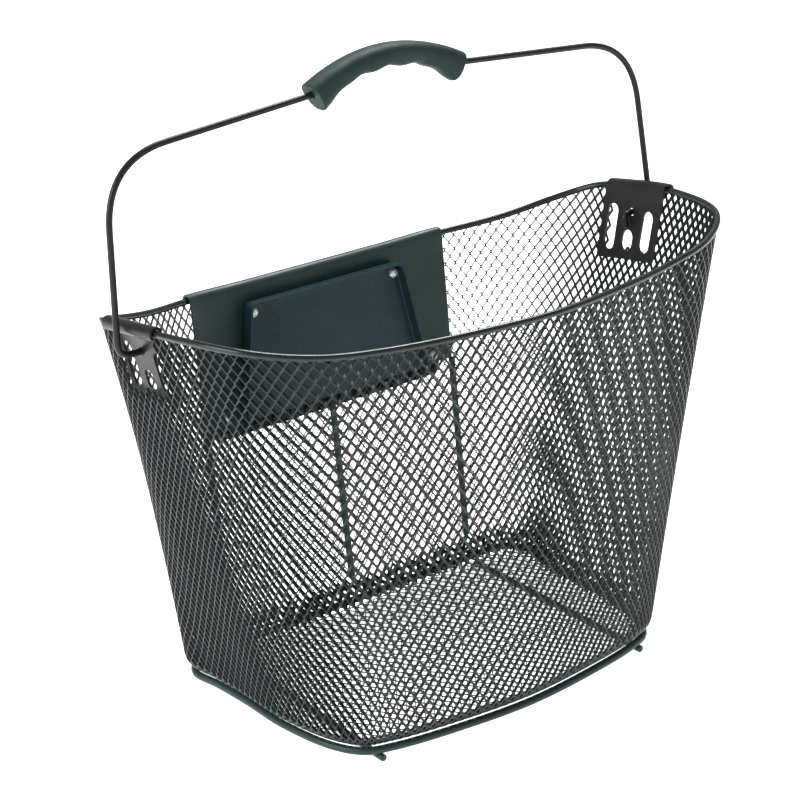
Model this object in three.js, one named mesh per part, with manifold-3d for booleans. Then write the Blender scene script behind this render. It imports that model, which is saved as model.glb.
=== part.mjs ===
// Handlebar basket: a fine diamond-mesh steel basket with a wire rim, a sheet-steel rear bracket
// that carries a quick-release adapter, two side plates and a swinging bail handle with a moulded
// grip. Millimetres, +Z up, the rider's side is +Y and the basket's open front is -Y.
// The origin is the centre of the whole basket's footprint, on the surface it stands on.

import * as THREE from "three";
import { mergeVertices } from "three/addons/utils/BufferGeometryUtils.js";
import Module from "manifold-3d";

const wasm = await Module();
wasm.setup();

// ---------------------------------------------------------------- driving dimensions

const GAP = 0.3; // clearance kept between touching pieces
const HOOK_GAP = 0.55; // clearance kept round the rim wire, which bends in short straight steps
const FLOOR_GAP = 0.9; // clearance kept round the mesh floor, whose edge bends in steps of its own

const RIM_WIRE_RADIUS = 1.9;
const REAR_RIM_HEIGHT = 214; // rim wire's centre at the middle of the rear
const SIDE_LIFT = 18.8; // how much the rim rises towards its widest point
const FRONT_SLOPE = 0.123; // how much the rim rises for each millimetre towards the front

const FLOOR_WIRE_RADIUS = 2;
const FLOOR_WIRE_X = 91;
const FLOOR_WIRE_REAR_Y = -20;
const FLOOR_WIRE_FRONT_Y = -174.5; // the wires stick out a little past the ring at the front
const UPRIGHT_X = 88; // rear uprights, one more stands in the middle
const RING_RADIUS = 2.2;
const RING_PLACE = 0.62; // how far round the bottom edge the ring wire lies, from wall to floor
const FLOOR_LEVEL = 7.2; // middle of the mesh floor
const BOTTOM_EDGE_RADIUS = 13;
const MESH_THICKNESS = 1.2;
const MESH_ROW_DROPS = [75, 150]; // rows of points down a mesh wall, between the rim and the bottom edge
const MIDDLE_OF_FLOOR_Y = -100;

// Stations of the right half of the basket, from the middle of the rear to the middle of the front:
// [rim x, rim y, bottom edge x, bottom edge y], with y = 0 on the rear rim.
const STATIONS = [
  [0, 0, 0, -14.5],
  [44, 0, 44, -14.5],
  [84, -2, 84, -14.5],
  [120, -18, 114, -17],
  [150, -34, 124, -31],
  [167, -54, 121, -53],
  [170.5, -84, 119, -80],
  [168.5, -127, 118, -115],
  [155.5, -170, 110.5, -153],
  [129.5, -191, 100, -170.5],
  [93, -201, 84, -177.5],
  [48.5, -211, 45, -184.5],
  [0, -218, 0, -188],
];
const RIM_HALF_WIDTH = 170.5;
const RIM_FRONT_Y = STATIONS[STATIONS.length - 1][1];

const PLATE_THICKNESS = 1.4;
const REAR_PLATE_HALF_WIDTH = 88;
const REAR_PLATE_DROP = 77.5; // from the rim wire's centre to the plate's lower edge

const TRAY_TOP_HALF_WIDTH = 53;
const TRAY_BOTTOM_HALF_WIDTH = 65;
const TRAY_TOP_DROP = 7;
const TRAY_BOTTOM_DROP = 76;
const TRAY_FLANGE = 7.5;
const REAR_BEND = 1.4; // how far the rear plate may bend inward from flat behind the tray and bolts

const SIDE_PLATE_REAR_Y = -66;
const SIDE_PLATE_FRONT_Y = -116;
const SIDE_PLATE_DROP = 43.5;
const SIDE_PLATE_BORDER = 3.5; // how far the side plate overlaps the mesh round its window
const SLOT_WIDTH = 9;
const SLOT_BOTTOM_DROP = 38.5;
const SIDE_SLOTS = [
  { y: -75, topDrop: 11 },
  { y: -90.5, topDrop: 26 }, // short, as it lies below the bail's pivot
  { y: -106, topDrop: 14 },
];

const BAIL_WIRE_RADIUS = 1.8;
const BAIL_PIVOT_Y = -90.5;
const BAIL_PIVOT_DROP = 14.5; // below the rim wire's centre
const BAIL_LEAN = THREE.MathUtils.degToRad(3.65); // towards the rider, at rest
const BAIL_FOOT_X = 178.6; // outside the rim
const BAIL_SHOULDER_X = 171.1;
const BAIL_SHOULDER_HEIGHT = 99.4; // above the pivot, along the bail
const BAIL_SHOULDER_RADIUS = 35.5;
const BAIL_FOOT_RADIUS = 8;
const BAIL_HOOK_INSET = 9; // from the wall to the hooked wire end inside the basket
const BAIL_HOOK_LENGTH = 8;
const BAIL_HOOK_RADIUS = 3;
const BAIL_HOLE_CLEARANCE = 0.6;

const GRIP_HALF_LENGTH = 47.5;
const GRIP_END_HEIGHT = 108.9; // wire's height above the pivot where it enters the grip
const GRIP_ARCH = 12.5; // how much the wire arches inside the grip
const GRIP_HALF_WIDTH = 8;
const GRIP_ABOVE_WIRE = 6.3;
const GRIP_BELOW_WIRE = 6.2;
const GRIP_WAVE = 0.7; // height of the finger waves on the underside
const GRIP_WAVES = 5;
const GRIP_FLARE = 3.6; // how much deeper the grip is at its ends
const GRIP_SQUARENESS = 0.78; // 1 is an oval section, lower is squarer

const ADAPTER_STANDOFF = 0.8; // from the mesh, whose rear is not quite flat
const ADAPTER_DEPTH = 9; // thickness of the adapter's base
const ADAPTER_RAIL_DEPTH = 11; // how far its guide rails stand out behind the base
const ADAPTER_HALF_WIDTH = 36;
const ADAPTER_BASE_TOP_HALF_WIDTH = 60;
const ADAPTER_BASE_BOTTOM_HALF_WIDTH = 83;
const ADAPTER_TOP_DROP = 5;
const ADAPTER_BOTTOM_DROP = 86;

const BOLT_HEAD_RADIUS = 3.6;
const BOLT_HEAD_HEIGHT = 2.8;
const BOLT_SHANK_RADIUS = 2;
const NUT_RADIUS = 4;
const NUT_HEIGHT = 4;
const THREAD_SHOWING = 1; // how far the bolt stands out of its nut
const UPPER_BOLT = { level: "upper", x: 49, drop: 13.4, seat: "tray" };
const LOWER_BOLT = { level: "lower", x: 73, drop: 71, seat: "plate" };

// The origin's place behind the basket's frontmost point: half of the overall depth.
const FRONT_EXTENT = RIM_FRONT_Y - RIM_WIRE_RADIUS;
const REAR_EXTENT = MESH_THICKNESS / 2 + ADAPTER_STANDOFF + ADAPTER_DEPTH + ADAPTER_RAIL_DEPTH;
const ORIGIN_Y = (FRONT_EXTENT + REAR_EXTENT) / 2;

// ---------------------------------------------------------------- materials

const GREEN_PAINT = { color: 0x29353a, roughness: 0.42, metalness: 0.3 };
const DARK_PAINT = { color: 0x2d2e30, roughness: 0.45, metalness: 0.3 };
const MESH_PAINT = { color: 0x2b3a38, roughness: 0.5, metalness: 0.3 };
const GRIP_PLASTIC = { color: 0x454e4d, roughness: 0.6, metalness: 0 };
const ADAPTER_PLASTIC = { color: 0x1c1d1f, roughness: 0.55, metalness: 0 };
const ZINC = { color: 0xc9cccf, roughness: 0.3, metalness: 0.9 };

const basket = new THREE.Group();
basket.position.y = -ORIGIN_Y;

function addPiece(name, geometry, finish, parent = basket) {
  const mesh = new THREE.Mesh(geometry, new THREE.MeshStandardMaterial(finish));
  mesh.name = name;
  parent.add(mesh);
  return mesh;
}

// ---------------------------------------------------------------- the basket's form

function closedOutline(xIndex, yIndex) {
  const right = STATIONS.map((s) => new THREE.Vector3(s[xIndex], s[yIndex], 0));
  const left = STATIONS.slice(1, -1).reverse().map((s) => new THREE.Vector3(-s[xIndex], s[yIndex], 0));
  return new THREE.CatmullRomCurve3([...right, ...left], true, "centripetal");
}

const rimOutline = closedOutline(0, 1);
const bottomOutline = closedOutline(2, 3);
const STATION_COUNT = 2 * (STATIONS.length - 1);

function rimHeight(x, y) {
  return REAR_RIM_HEIGHT + SIDE_LIFT * (x / RIM_HALF_WIDTH) ** 4 - FRONT_SLOPE * y;
}

// turn runs round the basket: 0 is the middle of the rear, 0.5 the middle of the front.
function rimPoint(turn) {
  const point = rimOutline.getPoint(THREE.MathUtils.euclideanModulo(turn, 1));
  point.z = rimHeight(point.x, point.y);
  return point;
}

function bottomPoint(turn) {
  const point = bottomOutline.getPoint(THREE.MathUtils.euclideanModulo(turn, 1));
  point.z = FLOOR_LEVEL;
  return point;
}

// The straight wall at one turn: where it starts, which way it falls and which way is out.
function wallFrame(turn) {
  const rim = rimPoint(turn);
  const bottom = bottomPoint(turn);
  const step = 1e-3;
  const along = rimPoint(turn + step).sub(rimPoint(turn - step)).normalize();
  const alongBottom = bottomPoint(turn + step).sub(bottomPoint(turn - step)).normalize();
  const down = bottom.clone().sub(rim);
  const length = down.length();
  down.normalize();
  const middle = along.clone().add(alongBottom).normalize();
  const out = new THREE.Vector3().crossVectors(middle, down).normalize();
  return { rim, bottom, down, out, length, alongBottom };
}

// A point on the wall: drop is the distance below the rim wire, offset is outward from the mesh.
function onWall(turn, drop, offset = 0) {
  const frame = wallFrame(turn);
  return frame.rim.clone().addScaledVector(frame.down, drop).addScaledVector(frame.out, offset);
}

// The rounded bottom edge at one turn: its tangent length, arc centre and arc angles.
function bottomEdge(turn) {
  const frame = wallFrame(turn);
  const inward = new THREE.Vector3(frame.alongBottom.y, -frame.alongBottom.x, 0).normalize();
  const middleOfFloor = new THREE.Vector3(0, MIDDLE_OF_FLOOR_Y, FLOOR_LEVEL).sub(frame.bottom);
  if (inward.dot(middleOfFloor) < 0) inward.negate();
  const up = frame.down.clone().negate();
  const corner = up.angleTo(inward);
  const tangent = BOTTOM_EDGE_RADIUS / Math.tan(corner / 2);
  return { ...frame, inward, up, corner, tangent };
}

// A point on the rounded bottom edge: bend 0 is where it leaves the wall, 1 is where it meets the floor.
function onBottomEdge(turn, bend, offset = 0) {
  const edge = bottomEdge(turn);
  const bisector = edge.up.clone().add(edge.inward).normalize();
  const toCentre = BOTTOM_EDGE_RADIUS / Math.sin(edge.corner / 2);
  const centre = edge.bottom.clone().addScaledVector(bisector, toCentre);
  const start = edge.bottom.clone().addScaledVector(edge.up, edge.tangent).sub(centre);
  const axis = new THREE.Vector3().crossVectors(edge.inward, edge.up).normalize();
  const sweep = Math.PI - edge.corner;
  const arm = start.applyAxisAngle(axis, sweep * bend);
  return centre.addScaledVector(arm, 1 + offset / BOTTOM_EDGE_RADIUS);
}

// The turn at which the rim reaches a given place; pick(point) must grow from one turn to the other.
function turnWhere(pick, target, from, to) {
  let low = from;
  let high = to;
  for (let i = 0; i < 40; i += 1) {
    const middle = (low + high) / 2;
    if (pick(rimPoint(middle)) < target) low = middle;
    else high = middle;
  }
  return (low + high) / 2;
}

const turnAtX = (x) => Math.sign(x) * turnWhere((p) => p.x, Math.abs(x), 0, 6 / STATION_COUNT);
const turnAtSideY = (y) => turnWhere((p) => -p.y, -y, 3 / STATION_COUNT, 9 / STATION_COUNT);

// ---------------------------------------------------------------- shape helpers

function spread(from, to, steps) {
  return Array.from({ length: steps + 1 }, (_, i) => from + ((to - from) * i) / steps);
}

// One closed body from an outer and an inner grid of points, joined round their edges.
// With wrap, the columns run round and meet, and the two grids join at their first and last rows.
function shellBody(outer, inner, wrap = false) {
  const rows = outer.length;
  const columns = outer[0].length;
  const positions = [...outer.flat(), ...inner.flat()].flatMap((p) => [p.x, p.y, p.z]);
  const at = (layer, row, column) => layer * rows * columns + row * columns + (column % columns);
  const triangles = [];
  const quad = (a, b, c, d) => triangles.push(a, b, c, a, c, d);
  const columnSteps = wrap ? columns : columns - 1;
  for (let row = 0; row < rows - 1; row += 1) {
    for (let column = 0; column < columnSteps; column += 1) {
      quad(at(0, row, column), at(0, row, column + 1), at(0, row + 1, column + 1), at(0, row + 1, column));
      quad(at(1, row, column), at(1, row + 1, column), at(1, row + 1, column + 1), at(1, row, column + 1));
    }
    if (!wrap) {
      const last = columns - 1;
      quad(at(0, row, 0), at(0, row + 1, 0), at(1, row + 1, 0), at(1, row, 0));
      quad(at(0, row, last), at(1, row, last), at(1, row + 1, last), at(0, row + 1, last));
    }
  }
  for (let column = 0; column < columnSteps; column += 1) {
    const last = rows - 1;
    quad(at(0, 0, column), at(1, 0, column), at(1, 0, column + 1), at(0, 0, column + 1));
    quad(at(0, last, column), at(0, last, column + 1), at(1, last, column + 1), at(1, last, column));
  }
  const geometry = new THREE.BufferGeometry();
  geometry.setAttribute("position", new THREE.Float32BufferAttribute(positions, 3));
  geometry.setIndex(triangles);
  return facingOut(geometry);
}

function signedVolume(geometry) {
  const position = geometry.attributes.position;
  const index = geometry.index.array;
  const [a, b, c] = [new THREE.Vector3(), new THREE.Vector3(), new THREE.Vector3()];
  let volume = 0;
  for (let i = 0; i < index.length; i += 3) {
    a.fromBufferAttribute(position, index[i]);
    b.fromBufferAttribute(position, index[i + 1]);
    c.fromBufferAttribute(position, index[i + 2]);
    volume += a.dot(b.cross(c)) / 6;
  }
  return volume;
}

function facingOut(geometry) {
  if (signedVolume(geometry) < 0) geometry.index.array.reverse();
  geometry.computeVertexNormals();
  return geometry;
}

function toManifold(geometry) {
  const bare = geometry.clone();
  bare.deleteAttribute("normal");
  bare.deleteAttribute("uv");
  const merged = facingOut(mergeVertices(bare, 1e-4));
  return new wasm.Manifold(new wasm.Mesh({
    numProp: 3,
    vertProperties: new Float32Array(merged.attributes.position.array),
    triVerts: new Uint32Array(merged.index.array),
  }));
}

function fromManifold(solid) {
  const { vertProperties, triVerts } = solid.getMesh();
  const geometry = new THREE.BufferGeometry();
  geometry.setAttribute("position", new THREE.Float32BufferAttribute(vertProperties, 3));
  geometry.setIndex([...triVerts]);
  geometry.computeVertexNormals();
  return geometry;
}

function cut(geometry, cutters) {
  const whole = toManifold(geometry);
  return fromManifold(cutters.reduce((solid, cutter) => solid.subtract(toManifold(cutter)), whole));
}

// A round wire along an open curve.
function wire(curve, radius, steps, sides) {
  const circle = new THREE.Shape(spread(0, 2 * Math.PI, sides).slice(0, -1)
    .map((angle) => new THREE.Vector2(radius * Math.cos(angle), radius * Math.sin(angle))));
  return new THREE.ExtrudeGeometry(circle, { steps, extrudePath: curve, bevelEnabled: false });
}

// A straight round bar from one point to another.
function bar(from, to, radius, sides) {
  return wire(new THREE.LineCurve3(from, to), radius, 1, sides);
}

// A round wire along a closed loop.
function wireLoop(pointAt, radius, steps, sides) {
  const points = spread(0, 1, steps).slice(0, -1).map(pointAt);
  const loop = new THREE.CatmullRomCurve3(points, true, "centripetal");
  return new THREE.TubeGeometry(loop, steps, radius, sides, true);
}

// A round bar, turned from a profile and laid along +Y from y = 0.
function turnedAlongY(profile, sides) {
  const geometry = new THREE.LatheGeometry(profile.map(([r, y]) => new THREE.Vector2(r, y)), sides);
  return mergeVertices(geometry);
}

// A sheet that follows the wall between two turns. path lists [drop, outer offset, inner offset].
function wallSheet(turns, path) {
  const grid = (index) => path.map((row) => turns.map((turn) => onWall(turn, row[0], row[index])));
  return shellBody(grid(1), grid(2));
}

// ---------------------------------------------------------------- rim and floor wires

function ringPoint(turn) {
  return onBottomEdge(turn, RING_PLACE, MESH_THICKNESS / 2 + GAP + RING_RADIUS);
}

function makeWires() {
  addPiece("rim_wire", wireLoop(rimPoint, RIM_WIRE_RADIUS, 120, 8), GREEN_PAINT);
  addPiece("floor_ring_wire", wireLoop(ringPoint, RING_RADIUS, 72, 8), GREEN_PAINT);

  for (const [side, x] of [["left", -FLOOR_WIRE_X], ["right", FLOOR_WIRE_X]]) {
    const rear = new THREE.Vector3(x, FLOOR_WIRE_REAR_Y, FLOOR_WIRE_RADIUS);
    const front = new THREE.Vector3(x, FLOOR_WIRE_FRONT_Y, FLOOR_WIRE_RADIUS);
    addPiece(`floor_wire_${side}`, bar(rear, front, FLOOR_WIRE_RADIUS, 12), GREEN_PAINT);
  }

  const wireOffset = MESH_THICKNESS / 2 + GAP + FLOOR_WIRE_RADIUS;
  for (const [name, x] of [["left", -UPRIGHT_X], ["middle", 0], ["right", UPRIGHT_X]]) {
    const turn = turnAtX(x);
    const top = onWall(turn, REAR_PLATE_DROP + GAP, -wireOffset);
    const low = onWall(turn, wallFrame(turn).length - BOTTOM_EDGE_RADIUS - 1, -wireOffset);
    addPiece(`rear_upright_${name}`, bar(top, low, FLOOR_WIRE_RADIUS, 8), GREEN_PAINT);
  }
}

// ---------------------------------------------------------------- mesh panels

// Where the mesh's panels meet, counted in stations from the middle of the rear.
const REAR_CORNER_STATION = 3.2;
const FRONT_CORNER_STATION = 8.6;

// Rows of a mesh wall, from just under the rim wire round the bottom edge to the floor.
function meshWall(turns) {
  const half = MESH_THICKNESS / 2;
  const grid = (offset) => {
    const drops = [RIM_WIRE_RADIUS + GAP, ...MESH_ROW_DROPS];
    const wall = drops.map((drop) => turns.map((turn) => onWall(turn, drop, offset)));
    const edge = spread(0, 1, 4).map((bend) => turns.map((turn) => onBottomEdge(turn, bend, offset)));
    return [...wall, ...edge];
  };
  return shellBody(grid(half), grid(-half));
}

// The window that a side plate covers, as a solid that passes through the wall.
function sidePlateWindow(side) {
  const rear = SIDE_PLATE_REAR_Y - SIDE_PLATE_BORDER;
  const front = SIDE_PLATE_FRONT_Y + SIDE_PLATE_BORDER;
  const turns = spread(turnAtSideY(rear), turnAtSideY(front), 4).map((turn) => side * turn);
  const reach = 8;
  const aboveRim = -12;
  return wallSheet(turns, [[aboveRim, reach, -reach], [SIDE_PLATE_DROP - SIDE_PLATE_BORDER, reach, -reach]]);
}

function makeMesh() {
  const seam = 0.0004; // half the gap between two panels, as a share of a full turn
  const corner = REAR_CORNER_STATION / STATION_COUNT;
  const frontCorner = FRONT_CORNER_STATION / STATION_COUNT;
  const rear = cut(meshWall(spread(-corner + seam, corner - seam, 18)), boltHoles(-MESH_CUT, MESH_CUT));
  addPiece("mesh_wall_rear", rear, MESH_PAINT);
  addPiece("mesh_wall_front", meshWall(spread(frontCorner + seam, 1 - frontCorner - seam, 20)), MESH_PAINT);
  for (const [name, side] of [["left", -1], ["right", 1]]) {
    const turns = spread(corner + seam, frontCorner - seam, 16).map((turn) => side * turn);
    addPiece(`mesh_wall_${name}`, cut(meshWall(turns), [sidePlateWindow(side)]), MESH_PAINT);
  }

  const outline = spread(0, 1, 64).slice(0, -1).map((turn) => {
    const edge = bottomEdge(turn);
    return onBottomEdge(turn, 1).addScaledVector(edge.inward, FLOOR_GAP);
  });
  const floorShape = new THREE.Shape(outline.map((p) => new THREE.Vector2(p.x, p.y)));
  const floor = new THREE.ExtrudeGeometry(floorShape, { depth: MESH_THICKNESS, bevelEnabled: false });
  addPiece("mesh_floor", floor, MESH_PAINT).position.z = FLOOR_LEVEL - MESH_THICKNESS / 2;
}

// ---------------------------------------------------------------- sheet-steel plates

const HOOK_END_DROP = 10; // where a plate that hooks over the rim wire has become flat

// The path of a plate that hangs inside the wall and hooks over the rim wire.
function hookedPlatePath(bottomDrop) {
  const innerRadius = RIM_WIRE_RADIUS + HOOK_GAP;
  const outerRadius = innerRadius + PLATE_THICKNESS;
  const hook = spread(-0.25 * Math.PI, Math.PI, 7).map((angle) => [angle, Math.cos(angle), Math.sin(angle)]);
  const arc = hook.map(([, c, s]) => ({
    outer: [-outerRadius * s, outerRadius * c],
    inner: [-innerRadius * s, innerRadius * c],
  }));
  const flat = [HOOK_END_DROP, (HOOK_END_DROP + bottomDrop) / 2, bottomDrop].map((drop) => ({
    outer: [drop, -outerRadius],
    inner: [drop, -innerRadius],
  }));
  return [...arc, ...flat];
}

function hookedPlate(turns, bottomDrop) {
  const path = hookedPlatePath(bottomDrop);
  const grid = (side) => path.map((row) => turns.map((turn) => onWall(turn, row[side][0], row[side][1])));
  return shellBody(grid("outer"), grid("inner"));
}

// The rear plate's inner face, which the tray is fixed against.
const REAR_PLATE_FACE = -(RIM_WIRE_RADIUS + HOOK_GAP + PLATE_THICKNESS);

function boltPlaces() {
  return [UPPER_BOLT, LOWER_BOLT].flatMap(({ level, x, drop, seat }) => [
    { x: -x, drop, seat, name: `${level}_left` },
    { x, drop, seat, name: `${level}_right` },
  ]);
}

// A place on the rear wall by x, drop and offset, for pieces that are flat rather than bent to the wall.
const rearFrame = wallFrame(0);
function onRear(x, drop, offset) {
  const point = rearFrame.rim.clone().addScaledVector(rearFrame.down, drop);
  point.x = x;
  return point.addScaledVector(rearFrame.out, offset);
}

// How far the bolt holes' cutters reach from the mesh for each piece that they pass through.
const MESH_CUT = 5;
const PLATE_CUT = 20;
const ADAPTER_CUT = 30;

function boltHoles(from, to) {
  return boltPlaces().map(({ x, drop }) => (
    bar(onRear(x, drop, from), onRear(x, drop, to), BOLT_SHANK_RADIUS + GAP, 12)));
}

function makeRearPlate() {
  const turns = spread(turnAtX(-REAR_PLATE_HALF_WIDTH), turnAtX(REAR_PLATE_HALF_WIDTH), 14);
  const plate = hookedPlate(turns, REAR_PLATE_DROP);
  addPiece("rear_plate", cut(plate, boltHoles(-PLATE_CUT, PLATE_CUT)), GREEN_PAINT);
}

// A flat tray with bent flanges along its top and sides, fixed inside the rear plate.
function makeTray() {
  const back = REAR_PLATE_FACE - REAR_BEND;
  const slope = (TRAY_BOTTOM_HALF_WIDTH - TRAY_TOP_HALF_WIDTH) / (TRAY_BOTTOM_DROP - TRAY_TOP_DROP);
  // A flat-sided block that widens downward, from one offset to another.
  const block = (inset, topDrop, bottomDrop, nearOffset, farOffset) => {
    const halfWidth = (drop) => TRAY_TOP_HALF_WIDTH + slope * (drop - TRAY_TOP_DROP) - inset;
    const face = (offset) => [topDrop, bottomDrop].map((drop) => (
      [-1, 1].map((side) => onRear(side * halfWidth(drop), drop, offset))));
    return toManifold(shellBody(face(nearOffset), face(farOffset)));
  };
  const rim = back - PLATE_THICKNESS - TRAY_FLANGE;
  const whole = block(0, TRAY_TOP_DROP, TRAY_BOTTOM_DROP, back, rim);
  const beyond = 5; // the hollow's cutter runs on past the tray's open bottom and front
  const inside = block(1.1 * PLATE_THICKNESS, TRAY_TOP_DROP + PLATE_THICKNESS, TRAY_BOTTOM_DROP + beyond,
    back - PLATE_THICKNESS, rim - beyond);
  const tray = fromManifold(whole.subtract(inside));
  addPiece("backing_tray", cut(tray, boltHoles(-PLATE_CUT, 0)), { ...GREEN_PAINT, color: 0x2f3e43 });
}

// One guide rail's section across the basket: a hooked lip that faces the adapter's middle.
function railShape(side) {
  const width = 7;
  const lip = 6;
  const lipDepth = 4;
  const chamfer = 2;
  const inner = ADAPTER_HALF_WIDTH - width;
  return new THREE.Shape([
    [ADAPTER_HALF_WIDTH, -1],
    [ADAPTER_HALF_WIDTH, ADAPTER_RAIL_DEPTH - chamfer],
    [ADAPTER_HALF_WIDTH - chamfer, ADAPTER_RAIL_DEPTH],
    [inner - lip, ADAPTER_RAIL_DEPTH],
    [inner - lip, ADAPTER_RAIL_DEPTH - lipDepth],
    [inner, ADAPTER_RAIL_DEPTH - lipDepth],
    [inner, -1],
  ].map(([x, z]) => new THREE.Vector2(side * x, z)));
}

// The moulded quick-release adapter behind the rear wall: a wide base, and two hooked guide rails that
// slide down over the bracket on the handlebar, with a stop across their top.
function makeAdapter() {
  const height = ADAPTER_BOTTOM_DROP - ADAPTER_TOP_DROP;
  const top = ADAPTER_BASE_TOP_HALF_WIDTH;
  const bottom = ADAPTER_BASE_BOTTOM_HALF_WIDTH;
  const round = 12;
  const base = new THREE.Shape();
  base.moveTo(-top, 0);
  base.lineTo(top, 0);
  base.lineTo(bottom, round - height);
  base.quadraticCurveTo(bottom, -height, bottom - round, -height);
  base.lineTo(round - bottom, -height);
  base.quadraticCurveTo(-bottom, -height, -bottom, round - height);
  base.closePath();
  const flat = { depth: ADAPTER_DEPTH, bevelEnabled: false, curveSegments: 4 };

  const railTop = -4; // below the base's top edge
  const railShortfall = 10; // how much shorter the rails are than the base
  const stopHeight = 7;
  const stopGap = 0.5;
  const sunk = 1; // rails and stop start inside the base, so that they join it
  const stopDepth = ADAPTER_RAIL_DEPTH - 1;
  const railLength = { depth: height - railShortfall, bevelEnabled: false };
  const rails = [-1, 1].map((side) => {
    const rail = new THREE.ExtrudeGeometry(railShape(side), railLength);
    return rail.rotateX(Math.PI / 2).translate(0, railTop, ADAPTER_DEPTH);
  });
  const stop = new THREE.BoxGeometry(2 * ADAPTER_HALF_WIDTH - 4, stopHeight, stopDepth + sunk);
  stop.translate(0, railTop - stopHeight / 2 - stopGap, ADAPTER_DEPTH + (stopDepth - sunk) / 2);
  const body = [...rails, stop].reduce(
    (solid, part) => solid.add(toManifold(part)),
    toManifold(new THREE.ExtrudeGeometry(base, flat)),
  );

  const up = rearFrame.down.clone().negate();
  const frame = new THREE.Matrix4().makeBasis(new THREE.Vector3(-1, 0, 0), up, rearFrame.out);
  frame.setPosition(onRear(0, ADAPTER_TOP_DROP, MESH_THICKNESS / 2 + ADAPTER_STANDOFF));
  const adapter = fromManifold(body).applyMatrix4(frame);
  addPiece("quick_release_adapter", cut(adapter, boltHoles(-MESH_CUT, ADAPTER_CUT)), ADAPTER_PLASTIC);
}

// ---------------------------------------------------------------- bolts and nuts

// Half of a domed bolt's section, as [radius, length]; 0 is under its head.
function boltProfile(shankLength) {
  return [
    [0, -BOLT_HEAD_HEIGHT],
    [0.55 * BOLT_HEAD_RADIUS, -0.93 * BOLT_HEAD_HEIGHT],
    [0.86 * BOLT_HEAD_RADIUS, -0.64 * BOLT_HEAD_HEIGHT],
    [BOLT_HEAD_RADIUS, 0],
    [BOLT_SHANK_RADIUS, 0],
    [BOLT_SHANK_RADIUS, shankLength],
    [0, shankLength],
  ];
}

function makeFasteners() {
  const seats = {
    tray: REAR_PLATE_FACE - REAR_BEND - PLATE_THICKNESS - GAP,
    plate: REAR_PLATE_FACE - REAR_BEND,
  };
  const back = MESH_THICKNESS / 2 + ADAPTER_STANDOFF + ADAPTER_DEPTH + GAP;

  const nutHole = new THREE.Path();
  nutHole.absarc(0, 0, BOLT_SHANK_RADIUS + GAP, 0, 2 * Math.PI, true);
  const nutShape = new THREE.Shape(spread(0, 2 * Math.PI, 6).slice(0, -1)
    .map((angle) => new THREE.Vector2(NUT_RADIUS * Math.cos(angle), NUT_RADIUS * Math.sin(angle))));
  nutShape.holes.push(nutHole);

  const turn = new THREE.Quaternion().setFromUnitVectors(new THREE.Vector3(0, 1, 0), rearFrame.out);
  for (const { x, drop, seat, name } of boltPlaces()) {
    const profile = boltProfile(back + NUT_HEIGHT - seats[seat]);
    const bolt = addPiece(`bolt_${name}`, turnedAlongY(profile, 12), ZINC);
    bolt.position.copy(onRear(x, drop, seats[seat]));
    bolt.quaternion.copy(turn);

    const nutGeometry = new THREE.ExtrudeGeometry(nutShape, {
      depth: NUT_HEIGHT - THREAD_SHOWING,
      bevelEnabled: false,
      curveSegments: 12,
    });
    nutGeometry.rotateX(-Math.PI / 2);
    const nut = addPiece(`nut_${name}`, nutGeometry, ZINC);
    nut.position.copy(onRear(x, drop, back));
    nut.quaternion.copy(turn);
  }
}

// ---------------------------------------------------------------- side plates

// A round-ended slot through the wall, for a plain pattern of three.
function slotCutter(side, y, topDrop) {
  const turn = side * turnAtSideY(y);
  const radius = SLOT_WIDTH / 2;
  const top = onWall(turn, topDrop + radius);
  const bottom = onWall(turn, SLOT_BOTTOM_DROP - radius);
  const shape = new THREE.Shape();
  const length = top.distanceTo(bottom);
  shape.absarc(0, 0, radius, 0, Math.PI, false);
  shape.absarc(0, -length, radius, Math.PI, 2 * Math.PI, false);
  const depth = 24;
  const cutter = new THREE.ExtrudeGeometry(shape, { depth, bevelEnabled: false, curveSegments: 8 });
  cutter.translate(0, 0, -depth / 2);
  const up = top.clone().sub(bottom).normalize();
  const out = wallFrame(turn).out;
  const along = new THREE.Vector3().crossVectors(up, out).normalize();
  const frame = new THREE.Matrix4().makeBasis(along, up, new THREE.Vector3().crossVectors(along, up));
  frame.setPosition(top);
  return cutter.applyMatrix4(frame);
}

function pivotPoint(side) {
  return onWall(side * turnAtSideY(BAIL_PIVOT_Y), BAIL_PIVOT_DROP);
}

function makeSidePlates() {
  for (const [name, side] of [["left", -1], ["right", 1]]) {
    const turns = spread(turnAtSideY(SIDE_PLATE_REAR_Y), turnAtSideY(SIDE_PLATE_FRONT_Y), 8)
      .map((turn) => side * turn);
    const pivot = pivotPoint(side);
    const reach = new THREE.Vector3(12, 0, 0);
    const slots = SIDE_SLOTS.map(({ y, topDrop }) => slotCutter(side, y, topDrop));
    const holeRadius = BAIL_WIRE_RADIUS + BAIL_HOLE_CLEARANCE;
    const pivotHole = bar(pivot.clone().sub(reach), pivot.clone().add(reach), holeRadius, 12);
    const plate = hookedPlate(turns, SIDE_PLATE_DROP);
    addPiece(`side_plate_${name}`, cut(plate, [...slots, pivotHole]), DARK_PAINT);
  }
}

// ---------------------------------------------------------------- bail handle

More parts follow.
